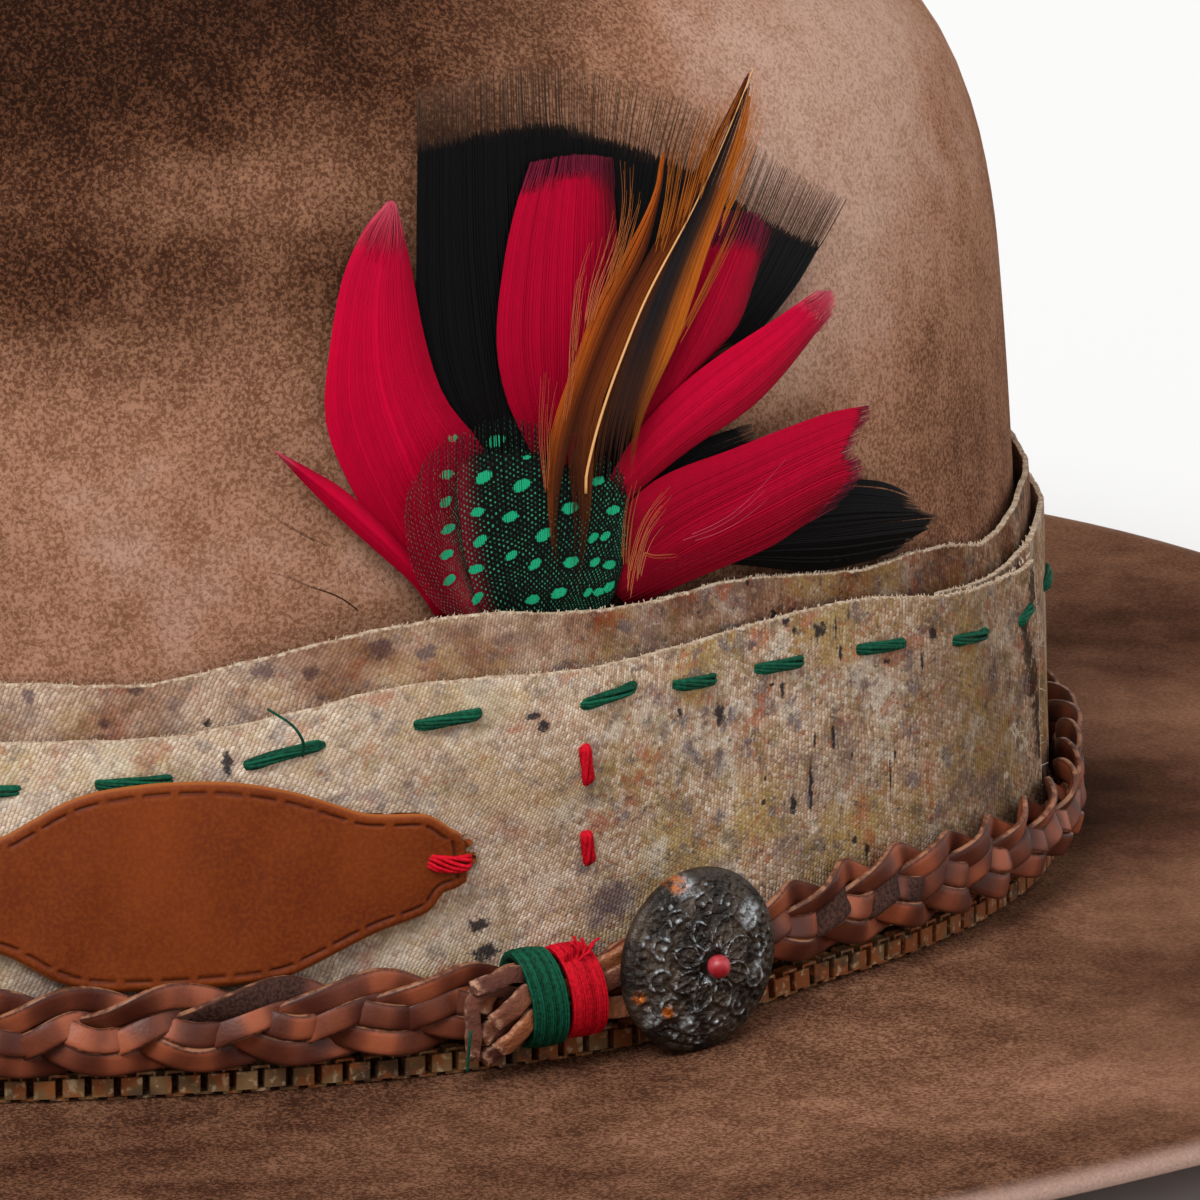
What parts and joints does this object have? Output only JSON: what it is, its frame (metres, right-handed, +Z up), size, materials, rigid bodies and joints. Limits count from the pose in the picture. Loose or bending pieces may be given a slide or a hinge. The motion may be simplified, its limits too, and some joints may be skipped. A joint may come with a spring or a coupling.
{
  "type": "western fedora",
  "caption": "Felt fedora with a pinched crown, curled brim, doubled canvas band, plaited leather cord with a cast button, box chain, leather label and a fan of feathers.",
  "frame": {"origin": "middle of the brim's outline, on the surface that the brim rests on", "axes": "+Z up, +Y to the back of the head, +X to the wearer's left, where the feathers and the button are"},
  "size_m": [0.309, 0.3406, 0.1135],
  "materials": {
    "felt": "brushed felt, mottled brown, worn light in places",
    "canvas": "stained twill canvas with raw edges",
    "label_leather": "smooth tan leather, matt",
    "plait_leather": "soft laces with a low sheen",
    "green_thread": "waxed thread",
    "red_thread": "waxed thread",
    "button_metal": "dark tarnished cast metal",
    "bead": "dull red bead",
    "chain_brass": "tarnished brass with rust",
    "black_feather": "black feather",
    "red_feather": "dyed red feather",
    "guinea_feather": "black feather spotted green",
    "hackle_feather": "orange and brown hackle"
  },
  "bodies": {
    "root": {"felt_body": "felt", "band_inner": "canvas", "band_outer": "canvas", "leather_label": "label_leather", "leather_plait": "plait_leather", "plait_cut_ends": "plait_leather", "thread_wrap_green": "green_thread", "thread_wrap_red": "red_thread", "button": "button_metal", "button_bead": "bead", "box_chain": "chain_brass", "feather_black_tail": "black_feather", "feather_black_side": "black_feather", "feather_red_1": "red_feather", "feather_red_sliver": "red_feather", "feather_red_2": "red_feather", "feather_red_3": "red_feather", "feather_red_4": "red_feather", "feather_red_5": "red_feather", "feather_guinea": "guinea_feather", "feather_hackle": "hackle_feather"}
  },
  "joints": []
}
